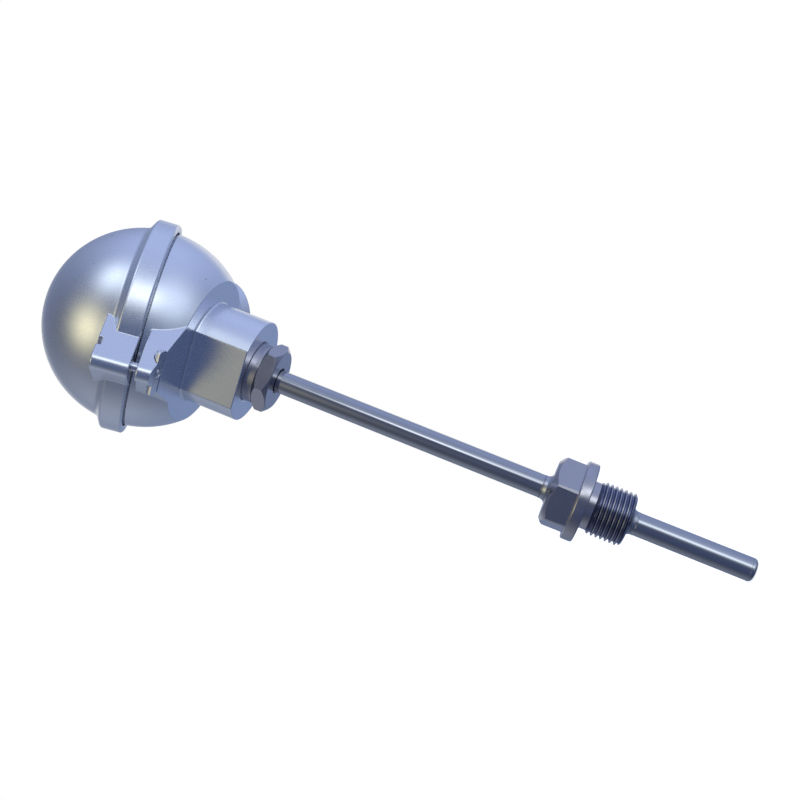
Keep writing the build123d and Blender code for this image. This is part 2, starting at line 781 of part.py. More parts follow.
cover.part.label = "cover"
head_body.part.label = "head_body"
latch_bar.part.label = "latch_bar"
cover_screw.part.label = "cover_screw"
screw_washer.part.label = "screw_washer"
screw_keeper.part.label = "screw_keeper"
hinge_pin.part.label = "hinge_pin"
cover_gasket.part.label = "cover_gasket"
head_fitting.part.label = "head_fitting"
stem_tube.part.label = "stem_tube"
tip_plug.part.label = "tip_plug"
process_fitting.part.label = "process_fitting"
upper_weld.part.label = "upper_weld"
lower_weld.part.label = "lower_weld"
insert_flange.part.label = "insert_flange"
insert_sheath.part.label = "insert_sheath"
sensing_element.part.label = "sensing_element"
insulator_rod.part.label = "insulator_rod"
lead_wires.part.label = "lead_wires"
terminal_block.part.label = "terminal_block"
terminals.part.label = "terminals"
terminal_screws.part.label = "terminal_screws"
insert_screws.part.label = "insert_screws"
insert_screw_nuts.part.label = "insert_screw_nuts"
insert_springs.part.label = "insert_springs"
ground_screw.part.label = "ground_screw"
ground_washer.part.label = "ground_washer"

export_step(cover.part, "parts/cover.step")
export_step(head_body.part, "parts/head_body.step")
export_step(latch_bar.part, "parts/latch_bar.step")
export_step(cover_screw.part, "parts/cover_screw.step")
export_step(screw_washer.part, "parts/screw_washer.step")
export_step(screw_keeper.part, "parts/screw_keeper.step")
export_step(hinge_pin.part, "parts/hinge_pin.step")
export_step(cover_gasket.part, "parts/cover_gasket.step")
export_step(head_fitting.part, "parts/head_fitting.step")
export_step(stem_tube.part, "parts/stem_tube.step")
export_step(tip_plug.part, "parts/tip_plug.step")
export_step(process_fitting.part, "parts/process_fitting.step")
export_step(upper_weld.part, "parts/upper_weld.step")
export_step(lower_weld.part, "parts/lower_weld.step")
export_step(insert_flange.part, "parts/insert_flange.step")
export_step(insert_sheath.part, "parts/insert_sheath.step")
export_step(sensing_element.part, "parts/sensing_element.step")
export_step(insulator_rod.part, "parts/insulator_rod.step")
export_step(lead_wires.part, "parts/lead_wires.step")
export_step(terminal_block.part, "parts/terminal_block.step")
export_step(terminals.part, "parts/terminals.step")
export_step(terminal_screws.part, "parts/terminal_screws.step")
export_step(insert_screws.part, "parts/insert_screws.step")
export_step(insert_screw_nuts.part, "parts/insert_screw_nuts.step")
export_step(insert_springs.part, "parts/insert_springs.step")
export_step(ground_screw.part, "parts/ground_screw.step")
export_step(ground_washer.part, "parts/ground_washer.step")
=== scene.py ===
import math

import bmesh
import bpy
from bpy.props import FloatProperty, FloatVectorProperty, IntProperty, PointerProperty
from mathutils import Matrix, Vector


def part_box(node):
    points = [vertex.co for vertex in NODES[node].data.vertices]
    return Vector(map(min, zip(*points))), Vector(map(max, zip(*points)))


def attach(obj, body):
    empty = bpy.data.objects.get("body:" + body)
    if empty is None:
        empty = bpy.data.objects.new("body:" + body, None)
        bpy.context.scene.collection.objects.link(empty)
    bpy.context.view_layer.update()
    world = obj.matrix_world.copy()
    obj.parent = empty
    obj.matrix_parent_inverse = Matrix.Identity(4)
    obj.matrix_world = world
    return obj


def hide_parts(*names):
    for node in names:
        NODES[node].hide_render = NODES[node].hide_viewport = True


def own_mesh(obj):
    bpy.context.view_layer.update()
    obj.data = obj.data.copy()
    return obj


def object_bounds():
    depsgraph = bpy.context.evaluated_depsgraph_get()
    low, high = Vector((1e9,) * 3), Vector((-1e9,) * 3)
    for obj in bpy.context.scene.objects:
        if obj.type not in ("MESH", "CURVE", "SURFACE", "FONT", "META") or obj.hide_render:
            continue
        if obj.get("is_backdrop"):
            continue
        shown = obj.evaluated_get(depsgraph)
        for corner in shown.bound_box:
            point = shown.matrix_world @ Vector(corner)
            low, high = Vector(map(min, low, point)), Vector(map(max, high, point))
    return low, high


bl_info = {
    "name": "Industrial thermometer",
    "version": (1, 0, 0),
    "blender": (4, 5, 0),
    "location": "3D View > Sidebar > Thermometer",
    "description": "Finishes, threads, springs and studio for the industrial thermometer",
    "category": "Object",
}

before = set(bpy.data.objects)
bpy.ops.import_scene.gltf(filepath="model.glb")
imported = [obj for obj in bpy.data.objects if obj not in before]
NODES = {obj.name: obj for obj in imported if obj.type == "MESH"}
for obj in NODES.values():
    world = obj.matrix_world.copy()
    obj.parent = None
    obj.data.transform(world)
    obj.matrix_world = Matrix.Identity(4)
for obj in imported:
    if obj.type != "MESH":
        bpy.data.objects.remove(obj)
MM = 0.001
# Distance, in metres, at which doubled vertices are joined
JOIN = 1e-6

# Axis of the cover and of its screw: the parting plane leans 18 degrees towards the lug
LEAN = math.radians(18.0)
COVER_UP = Vector((0.0, -math.sin(LEAN), math.cos(LEAN)))
COVER_BACK = Vector((0.0, math.cos(LEAN), math.sin(LEAN)))
BALL_CENTRE = Vector((0.0, 0.0, 185.3 * MM))

# Process fitting: its hexagon across the flats, and how much of the corners is broken off
HEXAGON = 25.0 * MM
CORNER_BREAK = 0.6 * MM
# Least height of a corner's edge, and the slack in finding it
CORNER_HEIGHT = 2.0 * MM
CORNER_SLACK = 0.05 * MM
# Angle under which two faces of the solid count as one flat face
FLAT = math.radians(0.5)
# Heights from the sealing face: where the solid is cut off, where its skin then ends, and the thread's end
SKIN_CUT = -2.0 * MM
SKIN_END = -3.1 * MM
THREAD_END = -2.9 * MM
# Lengths over which the thread rises from its root at the tip's side and falls back at the other
THREAD_LEAD_IN = 0.9 * MM
THREAD_LEAD_OUT = 1.5 * MM

# Thread of the cover screw, and its foot in front of and below the ball's centre on the cover's own axes
SCREW_RADIUS = 1.98 * MM
SCREW_DEPTH = 0.35 * MM
SCREW_LENGTH = 3.4 * MM
SCREW_LEAD = 0.5 * MM
SCREW_FORWARD = 46.7 * MM
SCREW_DOWN = 12.2 * MM

# Flank of a thread: its start and end from the root's middle, in shares of the pitch, and how much of it
# is straight rather than rounded
FLANK = (0.05, 0.44)
FLANK_STRAIGHT = 0.6

# Distance between the axes of the insert's two springs, points to a turn and facets round the wire
SPRING_SPREAD = 33.0 * MM
TURN_STEPS = 40
WIRE_STEPS = 12

# Grey values between which nearly all of a Noise Texture lies
NOISE_RANGE = (0.3, 0.7)
# Rays with which an edge is rounded in shading
BEVEL_SAMPLES = 12

# Gas pits of the castings: radii of a pit's bottom and of its rim in shares of the pit gap, its depth in
# dimples of the skin, and the colour of the painted shade inside it
PIT_RADII = (0.02, 0.05)
PIT_DEPTH = 25.0
PIT_SHADE_COLOUR = (0.22, 0.24, 0.3)

# Painted shade in the thread roots: depths under the crest at which the painted shade is full and gone, and
# its colour
ROOT_SHADE_DEPTH = 0.6 * MM
ROOT_SHADE_CLEAR = 0.08 * MM
ROOT_SHADE_COLOUR = (0.24, 0.26, 0.36)

# Zinc plating: colour and mean roughness
ZINC = ((0.8, 0.81, 0.85), 0.27)

# Soft lamps of the studio: name, direction from the object, sharpness and colour at the middle
SOFT_LAMPS = (
    ("warm_top", (-0.09, -0.76, 0.64), 17.0, (1.36, 1.25, 0.74)),
    ("strip", (0.67, -0.735, 0.1), 150.0, (2.3, 2.42, 2.48)),
    ("low_strip", (0.79, -0.6, -0.16), 48.0, (1.15, 1.22, 1.25)),
    ("key", (0.73, -0.4, 0.55), 26.0, (1.2, 1.33, 1.4)),
    ("sky", (0.87, 0.45, 0.22), 1.6, (0.48, 0.58, 0.9)),
    ("rear", (-0.43, 0.75, 0.5), 40.0, (0.72, 0.69, 0.6)),
    ("side", (-0.98, 0.0, 0.19), 3.6, (0.3, 0.33, 0.39)),
    ("under", (0.76, -0.35, -0.54), 10.0, (0.76, 0.86, 0.97)),
    ("front_low", (-0.27, -0.77, -0.57), 5.0, (0.03, 0.055, 0.15)),
    ("behind_low", (-0.33, 0.85, -0.4), 3.0, (0.12, 0.17, 0.3)),
    ("front", (0.0, -1.0, 0.0), 10.0, (0.035, 0.05, 0.1)),
)

# White backdrop: its direction, the cosines between which it comes into reflections, and its share there
BACKDROP = (0.0, 0.99, 0.14)
BACKDROP_FADE = (0.92, 0.995)
BACKDROP_SHARE = 0.75

# Lamp that throws the shadow: the point that it is aimed at, the way from there to the lamp, its width
# in metres and its power in watts
KEY_AIM = Vector((0.0, 0.0, 0.1))
KEY_WAY = Vector((0.7, -0.4, 0.6))
KEY_WIDTH = 0.5
KEY_POWER = 2.0

# Half the width of the floor, in metres
FLOOR_HALF = 6.0

# Camera fitted to the outlines in the photograph: its place, and its own axes right, up and back
CAMERA_PLACE = (0.131676, -0.371214, 0.025024)
CAMERA_AXES = (
    (0.310242, 0.235030, -0.921152),
    (0.900037, 0.239369, 0.364206),
    (0.306092, -0.942053, -0.137272),
)


# Sizes and colours

class ThermometerCasting(bpy.types.PropertyGroup):
    """Finish of the cast head."""

    colour: FloatVectorProperty(
        name="Colour", description="Tint of the tumbled aluminium", subtype="COLOR", size=3,
        min=0.0, max=1.0, default=(0.8, 0.82, 0.88))
    roughness: FloatProperty(
        name="Roughness", description="Mean roughness of the satin surface", default=0.27, min=0.0, max=1.0,
        subtype="FACTOR")
    grain: FloatProperty(
        name="Grain", description="Width of one dimple of the tumbled skin", default=0.8 * MM, min=0.0001,
        unit="LENGTH")
    edge: FloatProperty(
        name="Edge", description="Radius that tumbling leaves on a sharp edge", default=0.6 * MM, min=0.0,
        unit="LENGTH")
    pit_gap: FloatProperty(
        name="Pit gap", description="Distance between the gas pits in the metal", default=9.0 * MM, min=0.001,
        unit="LENGTH")


class ThermometerSteel(bpy.types.PropertyGroup):
    """Finish of the stainless parts."""

    tube_colour: FloatVectorProperty(
        name="Tube colour", description="Tint of the polished tube", subtype="COLOR", size=3, min=0.0,
        max=1.0, default=(0.43, 0.44, 0.475))
    turned_colour: FloatVectorProperty(
        name="Turned colour", description="Tint of the turned fittings", subtype="COLOR", size=3, min=0.0,
        max=1.0, default=(0.465, 0.45, 0.48))
    tube_roughness: FloatProperty(
        name="Tube roughness", description="Mean roughness of the tube", default=0.1, min=0.0, max=1.0,
        subtype="FACTOR")
    turned_roughness: FloatProperty(
        name="Turned roughness", description="Mean roughness of the turned fittings", default=0.17, min=0.0,
        max=1.0, subtype="FACTOR")
    tool_mark: FloatProperty(
        name="Tool mark", description="Spacing of the marks that turning leaves", default=0.12 * MM,
        min=0.00001, unit="LENGTH")


class ThermometerThreads(bpy.types.PropertyGroup):
    """Screw threads."""

    pipe_pitch: FloatProperty(
        name="Pipe pitch", description="Pitch of the process thread", default=1.814 * MM, min=0.0001,
        unit="LENGTH")
    pipe_radius: FloatProperty(
        name="Pipe radius", description="Outside radius of the process thread", default=10.4775 * MM,
        min=0.001, unit="LENGTH")
    pipe_depth: FloatProperty(
        name="Pipe depth", description="Depth of the process thread", default=1.162 * MM, min=0.0,
        unit="LENGTH")
    screw_pitch: FloatProperty(
        name="Screw pitch", description="Pitch of the cover screw", default=0.7 * MM, min=0.0001,
        unit="LENGTH")
    steps: IntProperty(
        name="Steps", description="Facets round a thread", default=128, min=24, max=256)


class ThermometerSprings(bpy.types.PropertyGroup):
    """Springs of the measuring insert."""

    turns: FloatProperty(name="Turns", description="Free turns of each coil", default=5.0, min=1.0)
    wire: FloatProperty(
        name="Wire", description="Thickness of the spring wire", default=0.8 * MM, min=0.0001, unit="LENGTH")
    outside: FloatProperty(
        name="Outside", description="Outside diameter of the coil", default=7.0 * MM, min=0.001,
        unit="LENGTH")


class ThermometerStudio(bpy.types.PropertyGroup):
    """Floor, lamps and camera."""

    floor_colour: FloatVectorProperty(
        name="Floor colour", description="Colour of the floor", subtype="COLOR", size=3, min=0.0, max=1.0,
        default=(0.9, 0.9, 0.9))
    floor_glow: FloatProperty(
        name="Floor glow", description="Light that the floor sends to the camera alone", default=0.75,
        min=0.0)
    level: FloatProperty(name="Level", description="Strength of all the lamps", default=1.0, min=0.0)
    lens: FloatProperty(name="Lens", description="Focal length on a 36 mm sensor", default=46.485, min=1.0)
    gap: FloatProperty(
        name="Gap", description="Height of the tip over the floor", default=0.3 * MM, min=0.0, unit="LENGTH")


# Node helpers

def link_value(tree, socket, value):
    """Feed a socket with another socket or with a plain number."""
    if isinstance(value, bpy.types.NodeSocket):
        tree.links.new(value, socket)
    else:
        socket.default_value = value


def calc(tree, operation, *values):
    """Add a Math node and return its result."""
    node = tree.nodes.new("ShaderNodeMath")
    node.operation = operation
    for place, value in enumerate(values):
        link_value(tree, node.inputs[place], value)
    return node.outputs[0]


def weigh(tree, first, second, share):
    """Add two values, the first by its share and the second by the rest."""
    rest = calc(tree, "MULTIPLY", second, 1.0 - share)
    return calc(tree, "ADD", calc(tree, "MULTIPLY", first, share), rest)


def remap(tree, value, low, high, to_low, to_high, smooth=False):
    """Add a Map Range node and return its result."""
    node = tree.nodes.new("ShaderNodeMapRange")
    node.interpolation_type = "SMOOTHSTEP" if smooth else "LINEAR"
    for place, number in enumerate((value, low, high, to_low, to_high)):
        link_value(tree, node.inputs[place], number)
    return node.outputs[0]


def noise(tree, vector, scale, detail=2.0, roughness=0.5):
    """Add a Noise Texture, with scale grains to each unit of the vector, and return its grey value."""
    node = tree.nodes.new("ShaderNodeTexNoise")
    tree.links.new(vector, node.inputs["Vector"])
    node.inputs["Scale"].default_value = scale
    node.inputs["Detail"].default_value = detail
    node.inputs["Roughness"].default_value = roughness
    return node.outputs["Fac"]


def stretch(tree, vector, scale):
    """Scale a vector along its axes."""
    node = tree.nodes.new("ShaderNodeMapping")
    node.inputs["Scale"].default_value = scale
    tree.links.new(vector, node.inputs["Vector"])
    return node.outputs["Vector"]


def blend_colour(tree, factor, dark, pale):
    """Mix two colours, each a triple or a socket, by a factor."""
    node = tree.nodes.new("ShaderNodeMix")
    node.data_type = "RGBA"
    tree.links.new(factor, node.inputs["Factor"])
    for socket, colour in ((node.inputs["A"], dark), (node.inputs["B"], pale)):
        link_value(tree, socket, (*colour, 1.0) if isinstance(colour, tuple) else colour)
    return node.outputs["Result"]


def vector_math(tree, operation, *values):
    """Add a Vector Math node and return its result."""
    node = tree.nodes.new("ShaderNodeVectorMath")
    node.operation = operation
    for place, value in enumerate(values):
        factor = operation == "SCALE" and place == 1
        link_value(tree, node.inputs["Scale" if factor else place], value)
    return node.outputs["Value" if operation == "DOT_PRODUCT" else "Vector"]


def soft_lamp(tree, way, name, place, sharpness, colour):
    """Glow that fades evenly all round a direction, as a broad lamp behind a diffuser does."""
    towards = vector_math(tree, "DOT_PRODUCT", way, place)
    towards.node.name = name
    away = calc(tree, "SUBTRACT", towards, 1.0)
    glow = calc(tree, "EXPONENT", calc(tree, "MULTIPLY", away, sharpness))
    tint = tree.nodes.new("ShaderNodeCombineXYZ")
    for socket, part in zip(tint.inputs, colour):
        socket.default_value = part
    return vector_math(tree, "SCALE", tint.outputs[0], glow)


def scaled(colour, amount):
    """Make a colour lighter or darker."""
    return tuple(min(1.0, part * amount) for part in colour)


def new_material(name, metallic=1.0):
    """Make a material and return it with its tree, its shader and its object coordinates."""
    material = bpy.data.materials.new(name)
    material.use_nodes = True
    tree = material.node_tree
    shader = tree.nodes["Principled BSDF"]
    shader.inputs["Metallic"].default_value = metallic
    place = tree.nodes.new("ShaderNodeTexCoord").outputs["Object"]
    return material, tree, shader, place


def colour_surface(tree, shader, factor, dark, pale):
    """Blend the shader's base colour from two colours."""
    tree.links.new(blend_colour(tree, factor, dark, pale), shader.inputs["Base Color"])


def vary_roughness(tree, shader, grey, low, high):
    """Let a grey value of noise vary the shader's roughness between two limits."""
    tree.links.new(remap(tree, grey, *NOISE_RANGE, low, high), shader.inputs["Roughness"])


def bump(tree, shader, height, strength, distance, edge=0.0):
    """Give the shader a bumped normal, over edges rounded in shading."""
    node = tree.nodes.new("ShaderNodeBump")
    node.inputs["Strength"].default_value = strength
    node.inputs["Distance"].default_value = distance
    tree.links.new(height, node.inputs["Height"])
    if edge > 0.0:
        soften = tree.nodes.new("ShaderNodeBevel")
        soften.samples = BEVEL_SAMPLES
        soften.inputs["Radius"].default_value = edge
        tree.links.new(soften.outputs["Normal"], node.inputs["Normal"])
    tree.links.new(node.outputs["Normal"], shader.inputs["Normal"])


# Materials

def cast_aluminium(name, settings):
    """Tumbled, satin aluminium casting with a few gas pits, bumped in and darkened with painted shade."""
    material, tree, shader, place = new_material(name)
    clouds = noise(tree, place, 45.0, detail=3.0)
    skin = noise(tree, place, 1.0 / settings.grain)
    scratches = noise(tree, stretch(tree, place, (420.0, 420.0, 40.0)), 1.0, detail=3.0, roughness=0.6)
    metal = blend_colour(
        tree, weigh(tree, clouds, skin, 0.7), scaled(settings.colour, 0.93), scaled(settings.colour, 1.05))
    cells = tree.nodes.new("ShaderNodeTexVoronoi")
    cells.inputs["Scale"].default_value = 1.0 / settings.pit_gap
    tree.links.new(place, cells.inputs["Vector"])
    pits = remap(tree, cells.outputs["Distance"], *PIT_RADII, 1.0, 0.0, True)
    # Painted shade: the pits are coloured dark as well as bumped in
    colour_surface(tree, shader, pits, metal, PIT_SHADE_COLOUR)
    dull = weigh(tree, skin, scratches, 0.5)
    vary_roughness(tree, shader, dull, settings.roughness - 0.04, settings.roughness + 0.05)
    pitted = calc(tree, "SUBTRACT", skin, calc(tree, "MULTIPLY", pits, PIT_DEPTH))
    waves = calc(tree, "ADD", calc(tree, "MULTIPLY", scratches, 0.5), calc(tree, "MULTIPLY", clouds, 6.0))
    height = calc(tree, "ADD", pitted, waves)
    bump(tree, shader, height, strength=0.2, distance=0.012 * MM, edge=settings.edge)
    return material


def turned_steel(name, colour, roughness, mark, edge, shade_radius=0.0):
    """Stainless steel with the fine rings that turning leaves, and painted shade in the thread roots below a
    radius.
    """
    material, tree, shader, place = new_material(name)
    split = tree.nodes.new("ShaderNodeSeparateXYZ")
    tree.links.new(place, split.inputs[0])
    squares = [calc(tree, "POWER", split.outputs[axis], 2.0) for axis in "XY"]
    radius = calc(tree, "SQRT", calc(tree, "ADD", *squares))
    ring = tree.nodes.new("ShaderNodeCombineXYZ")
    tree.links.new(calc(tree, "MULTIPLY", radius, 1.0 / mark), ring.inputs["X"])
    tree.links.new(calc(tree, "MULTIPLY", split.outputs["Z"], 1.0 / mark), ring.inputs["Y"])
    marks = noise(tree, ring.outputs[0], 1.0, roughness=0.7)
    smudge = noise(tree, place, 130.0, detail=4.0, roughness=0.6)
    tint = blend_colour(tree, smudge, scaled(colour, 0.92), scaled(colour, 1.06))
    if shade_radius > 0.0:
        # Painted shade: the thread's colour darkens from its crest down into its roots
        crest = remap(tree, radius, shade_radius - ROOT_SHADE_DEPTH, shade_radius - ROOT_SHADE_CLEAR, 0.0, 1.0, True)
        tint = blend_colour(tree, crest, ROOT_SHADE_COLOUR, tint)
    tree.links.new(tint, shader.inputs["Base Color"])
    wear = weigh(tree, smudge, marks, 0.6)
    vary_roughness(tree, shader, wear, max(0.03, roughness - 0.04), roughness + 0.05)
    bump(tree, shader, marks, strength=0.1, distance=0.006 * MM, edge=edge)
    return material


def plated_steel(name, colour, roughness):
    """Bright metal of the small parts, plated or plain, with light handling marks."""
    material, tree, shader, place = new_material(name)
    speck = noise(tree, place, 900.0, detail=3.0, roughness=0.6)
    colour_surface(tree, shader, speck, scaled(colour, 0.85), scaled(colour, 1.06))
    vary_roughness(tree, shader, speck, roughness - 0.07, roughness + 0.1)
    bump(tree, shader, speck, strength=0.12, distance=0.02 * MM, edge=0.08 * MM)
    return material


def glazed_ceramic(name):
    """White steatite with faint specks."""
    material, tree, shader, place = new_material(name, metallic=0.0)
    speck = noise(tree, place, 1400.0, roughness=0.7)
    spots = remap(tree, speck, 0.45, 0.75, 0.0, 1.0)
    colour_surface(tree, shader, spots, (0.84, 0.83, 0.79), (0.74, 0.72, 0.66))
    vary_roughness(tree, shader, noise(tree, place, 220.0), 0.22, 0.38)
    bump(tree, shader, speck, strength=0.1, distance=0.02 * MM, edge=0.2 * MM)
    return material


def gasket_rubber(name):
    """Matt black rubber."""
    material, tree, shader, place = new_material(name, metallic=0.0)
    grain = noise(tree, place, 2200.0)
    colour_surface(tree, shader, grain, (0.02, 0.02, 0.022), (0.045, 0.045, 0.05))
    vary_roughness(tree, shader, grain, 0.55, 0.7)
    bump(tree, shader, grain, strength=0.2, distance=0.02 * MM)
    return material


def dress(node, material):
    """Give a node of the frame its material."""
    mesh = NODES[node].data
    mesh.materials.clear()
    mesh.materials.append(material)


def smooth_by_angle(mesh, angle):
    """Shade a mesh smooth, with creases where faces meet at more than an angle in degrees."""
    mesh.polygons.foreach_set("use_smooth", [True] * len(mesh.polygons))
    mesh.set_sharp_from_angle(angle=math.radians(angle))


def drop_normals(mesh):
    """Take stored normals off a mesh, so that its own creases decide the shading."""
    if "custom_normal" in mesh.attributes:
        mesh.attributes.remove(mesh.attributes["custom_normal"])


def plain_mesh(host, name):
    """Turn what a host's modifiers make into an object of its own, at the origin."""
    bpy.context.view_layer.update()
    made = bpy.data.meshes.new_from_object(host.evaluated_get(bpy.context.evaluated_depsgraph_get()))
    bpy.data.objects.remove(host)
    return link_mesh(made, name)


def link_mesh(mesh, name):
    """Link a mesh to the scene as a named object."""
    mesh.name = name
    piece = bpy.data.objects.new(name, mesh)
    bpy.context.scene.collection.objects.link(piece)
    return piece


def geometry_host(tree, values):
    """Make an empty mesh object whose modifier runs a geometry tree with the given inputs."""
    host = bpy.data.objects.new("host", bpy.data.meshes.new("host"))
    bpy.context.scene.collection.objects.link(host)
    modifier = host.modifiers.new("build", "NODES")
    modifier.node_group = tree
    for item in tree.interface.items_tree:
        if item.item_type == "SOCKET" and item.in_out == "INPUT" and item.name in values:
            modifier[item.identifier] = values[item.name]
    return host


def new_geometry_tree(name, numbers):
    """Make a geometry tree with named number inputs and a geometry output."""
    tree = bpy.data.node_groups.new(name, "GeometryNodeTree")
    for label, default in numbers:
        socket = tree.interface.new_socket(label, in_out="INPUT", socket_type="NodeSocketFloat")
        socket.default_value = default
    tree.interface.new_socket("Material", in_out="INPUT", socket_type="NodeSocketMaterial")
    tree.interface.new_socket("Geometry", in_out="OUTPUT", socket_type="NodeSocketGeometry")
    return tree, tree.nodes.new("NodeGroupInput"), tree.nodes.new("NodeGroupOutput")


def finish_tree(tree, geometry, given, out):
    """End a tree in Realize Instances and Set Material."""
    real = tree.nodes.new("GeometryNodeRealizeInstances")
    paint = tree.nodes.new("GeometryNodeSetMaterial")
    tree.links.new(geometry, real.inputs[0])
    tree.links.new(real.outputs[0], paint.inputs["Geometry"])
    tree.links.new(given.outputs["Material"], paint.inputs["Material"])
    tree.links.new(paint.outputs[0], out.inputs[0])


def thread_tree(around, along):
    """Geometry tree of an outer thread: a grid rolled into a tube whose radius follows a helix."""
    tree, given, out = new_geometry_tree("outer_thread", (
        ("Radius", 0.01), ("Depth", 0.001), ("Pitch", 0.0018), ("Length", 0.014), ("Start", 0.001),
        ("End", 0.001)))
    grid = tree.nodes.new("GeometryNodeMeshGrid")
    for label, value in (("Size X", 1.0), ("Size Y", 1.0), ("Vertices X", around + 1), ("Vertices Y", along)):
        grid.inputs[label].default_value = value
    where = tree.nodes.new("GeometryNodeInputPosition")
    split = tree.nodes.new("ShaderNodeSeparateXYZ")
    tree.links.new(where.outputs[0], split.inputs[0])
    turn = calc(tree, "ADD", split.outputs["X"], 0.5)
    height = calc(tree, "MULTIPLY", calc(tree, "ADD", split.outputs["Y"], 0.5), given.outputs["Length"])
    phase = calc(tree, "SUBTRACT", calc(tree, "DIVIDE", height, given.outputs["Pitch"]), turn)
    saw = calc(tree, "PINGPONG", phase, 0.5)
    straight = remap(tree, saw, *FLANK, 0.0, 1.0)
    rounded = remap(tree, saw, *FLANK, 0.0, 1.0, True)
    root = calc(tree, "SUBTRACT", given.outputs["Radius"], given.outputs["Depth"])

    def over_root(share):
        """Radius at a share of the depth over the root."""
        return calc(tree, "ADD", root, calc(tree, "MULTIPLY", share, given.outputs["Depth"]))

    radius = over_root(weigh(tree, straight, rounded, FLANK_STRAIGHT))
    left = calc(tree, "SUBTRACT", given.outputs["Length"], height)
    lead_in = over_root(calc(tree, "DIVIDE", height, given.outputs["Start"]))
    lead_out = over_root(calc(tree, "DIVIDE", left, given.outputs["End"]))
    radius = calc(tree, "MINIMUM", radius, calc(tree, "MINIMUM", lead_in, lead_out))
    angle = calc(tree, "MULTIPLY", turn, 2.0 * math.pi)
    point = tree.nodes.new("ShaderNodeCombineXYZ")
    tree.links.new(calc(tree, "MULTIPLY", radius, calc(tree, "COSINE", angle)), point.inputs["X"])
    tree.links.new(calc(tree, "MULTIPLY", radius, calc(tree, "SINE", angle)), point.inputs["Y"])
    tree.links.new(height, point.inputs["Z"])
    move = tree.nodes.new("GeometryNodeSetPosition")
    tree.links.new(grid.outputs["Mesh"], move.inputs["Geometry"])
    tree.links.new(point.outputs[0], move.inputs["Position"])
    merge = tree.nodes.new("GeometryNodeMergeByDistance")
    merge.inputs["Distance"].default_value = JOIN
    tree.links.new(move.outputs[0], merge.inputs["Geometry"])
    finish_tree(tree, merge.outputs[0], given, out)
    return tree


def thread_piece(name, material, values, around, along):
    """Make a thread as a closed plain mesh along +Z from the origin, capped at both ends."""
    tree = thread_tree(around, along)
    piece = plain_mesh(geometry_host(tree, dict(values, Material=material)), name)
    shape = bmesh.new()
    shape.from_mesh(piece.data)
    rims = [edge for edge in shape.edges if edge.is_boundary]
    bmesh.ops.holes_fill(shape, edges=rims, sides=0)
    bmesh.ops.recalc_face_normals(shape, faces=shape.faces)
    shape.to_mesh(piece.data)
    shape.free()
    smooth_by_angle(piece.data, 50.0)
    return piece


def spring_tree():
    """Geometry tree of two upright compression springs, one on each side of the axis."""
    tree, given, out = new_geometry_tree("compression_spring", (
        ("Radius", 0.003), ("Wire", 0.0004), ("Turns", 5.0), ("Height", 0.011), ("Base", 0.17),
        ("Spread", SPRING_SPREAD)))
    coil = tree.nodes.new("GeometryNodeCurveSpiral")
    coil.inputs["Resolution"].default_value = TURN_STEPS
    for source, label in (
            ("Turns", "Rotations"), ("Radius", "Start Radius"), ("Radius", "End Radius"),
            ("Height", "Height")):
        tree.links.new(given.outputs[source], coil.inputs[label])
    ring = tree.nodes.new("GeometryNodeCurvePrimitiveCircle")
    ring.inputs["Resolution"].default_value = WIRE_STEPS
    tree.links.new(given.outputs["Wire"], ring.inputs["Radius"])
    tube = tree.nodes.new("GeometryNodeCurveToMesh")
    tree.links.new(coil.outputs[0], tube.inputs["Curve"])
    tree.links.new(ring.outputs[0], tube.inputs["Profile Curve"])
    tube.inputs["Fill Caps"].default_value = True
    pair = tree.nodes.new("GeometryNodeMeshLine")
    pair.mode = "END_POINTS"
    pair.inputs["Count"].default_value = 2
    half = calc(tree, "MULTIPLY", given.outputs["Spread"], 0.5)
    for sign, label in ((-1.0, "Start Location"), (1.0, "Offset")):
        end = tree.nodes.new("ShaderNodeCombineXYZ")
        tree.links.new(calc(tree, "MULTIPLY", half, sign), end.inputs["X"])
        tree.links.new(given.outputs["Base"], end.inputs["Z"])
        tree.links.new(end.outputs[0], pair.inputs[label])
    put = tree.nodes.new("GeometryNodeInstanceOnPoints")
    tree.links.new(pair.outputs[0], put.inputs["Points"])
    tree.links.new(tube.outputs[0], put.inputs["Instance"])
    finish_tree(tree, put.outputs[0], given, out)
    return tree


# Operators

class THERMOMETER_OT_castings(bpy.types.Operator):
    """Give the cover and the body of the head their satin casting"""

    bl_idname = "thermometer.castings"
    bl_label = "Finish the castings"

    def execute(self, context):
        settings = context.scene.thermometer_casting
        dress("cover", cast_aluminium("cast_cover", settings))
        dress("head_body", cast_aluminium("cast_body", settings))
        return {"FINISHED"}


class THERMOMETER_OT_steel(bpy.types.Operator):
    """Give the tube, its plug, the welds and the head fitting their steel"""

    bl_idname = "thermometer.steel"
    bl_label = "Finish the steel parts"

    def execute(self, context):
        settings = context.scene.thermometer_steel
        mark = settings.tool_mark
        tube = turned_steel(
            "polished_tube", settings.tube_colour, settings.tube_roughness, mark * 4, edge=0.2 * MM)
        for node in ("stem_tube", "tip_plug", "insert_sheath"):
            dress(node, tube)
        turned = turned_steel(
            "turned_fitting", settings.turned_colour, settings.turned_roughness, mark, edge=0.15 * MM)
        dress("head_fitting", turned)
        weld = turned_steel(
            "weld_bead", scaled(settings.tube_colour, 1.05), roughness=0.2, mark=mark * 3, edge=0.2 * MM)
        for node in ("upper_weld", "lower_weld"):
            dress(node, weld)
        return {"FINISHED"}


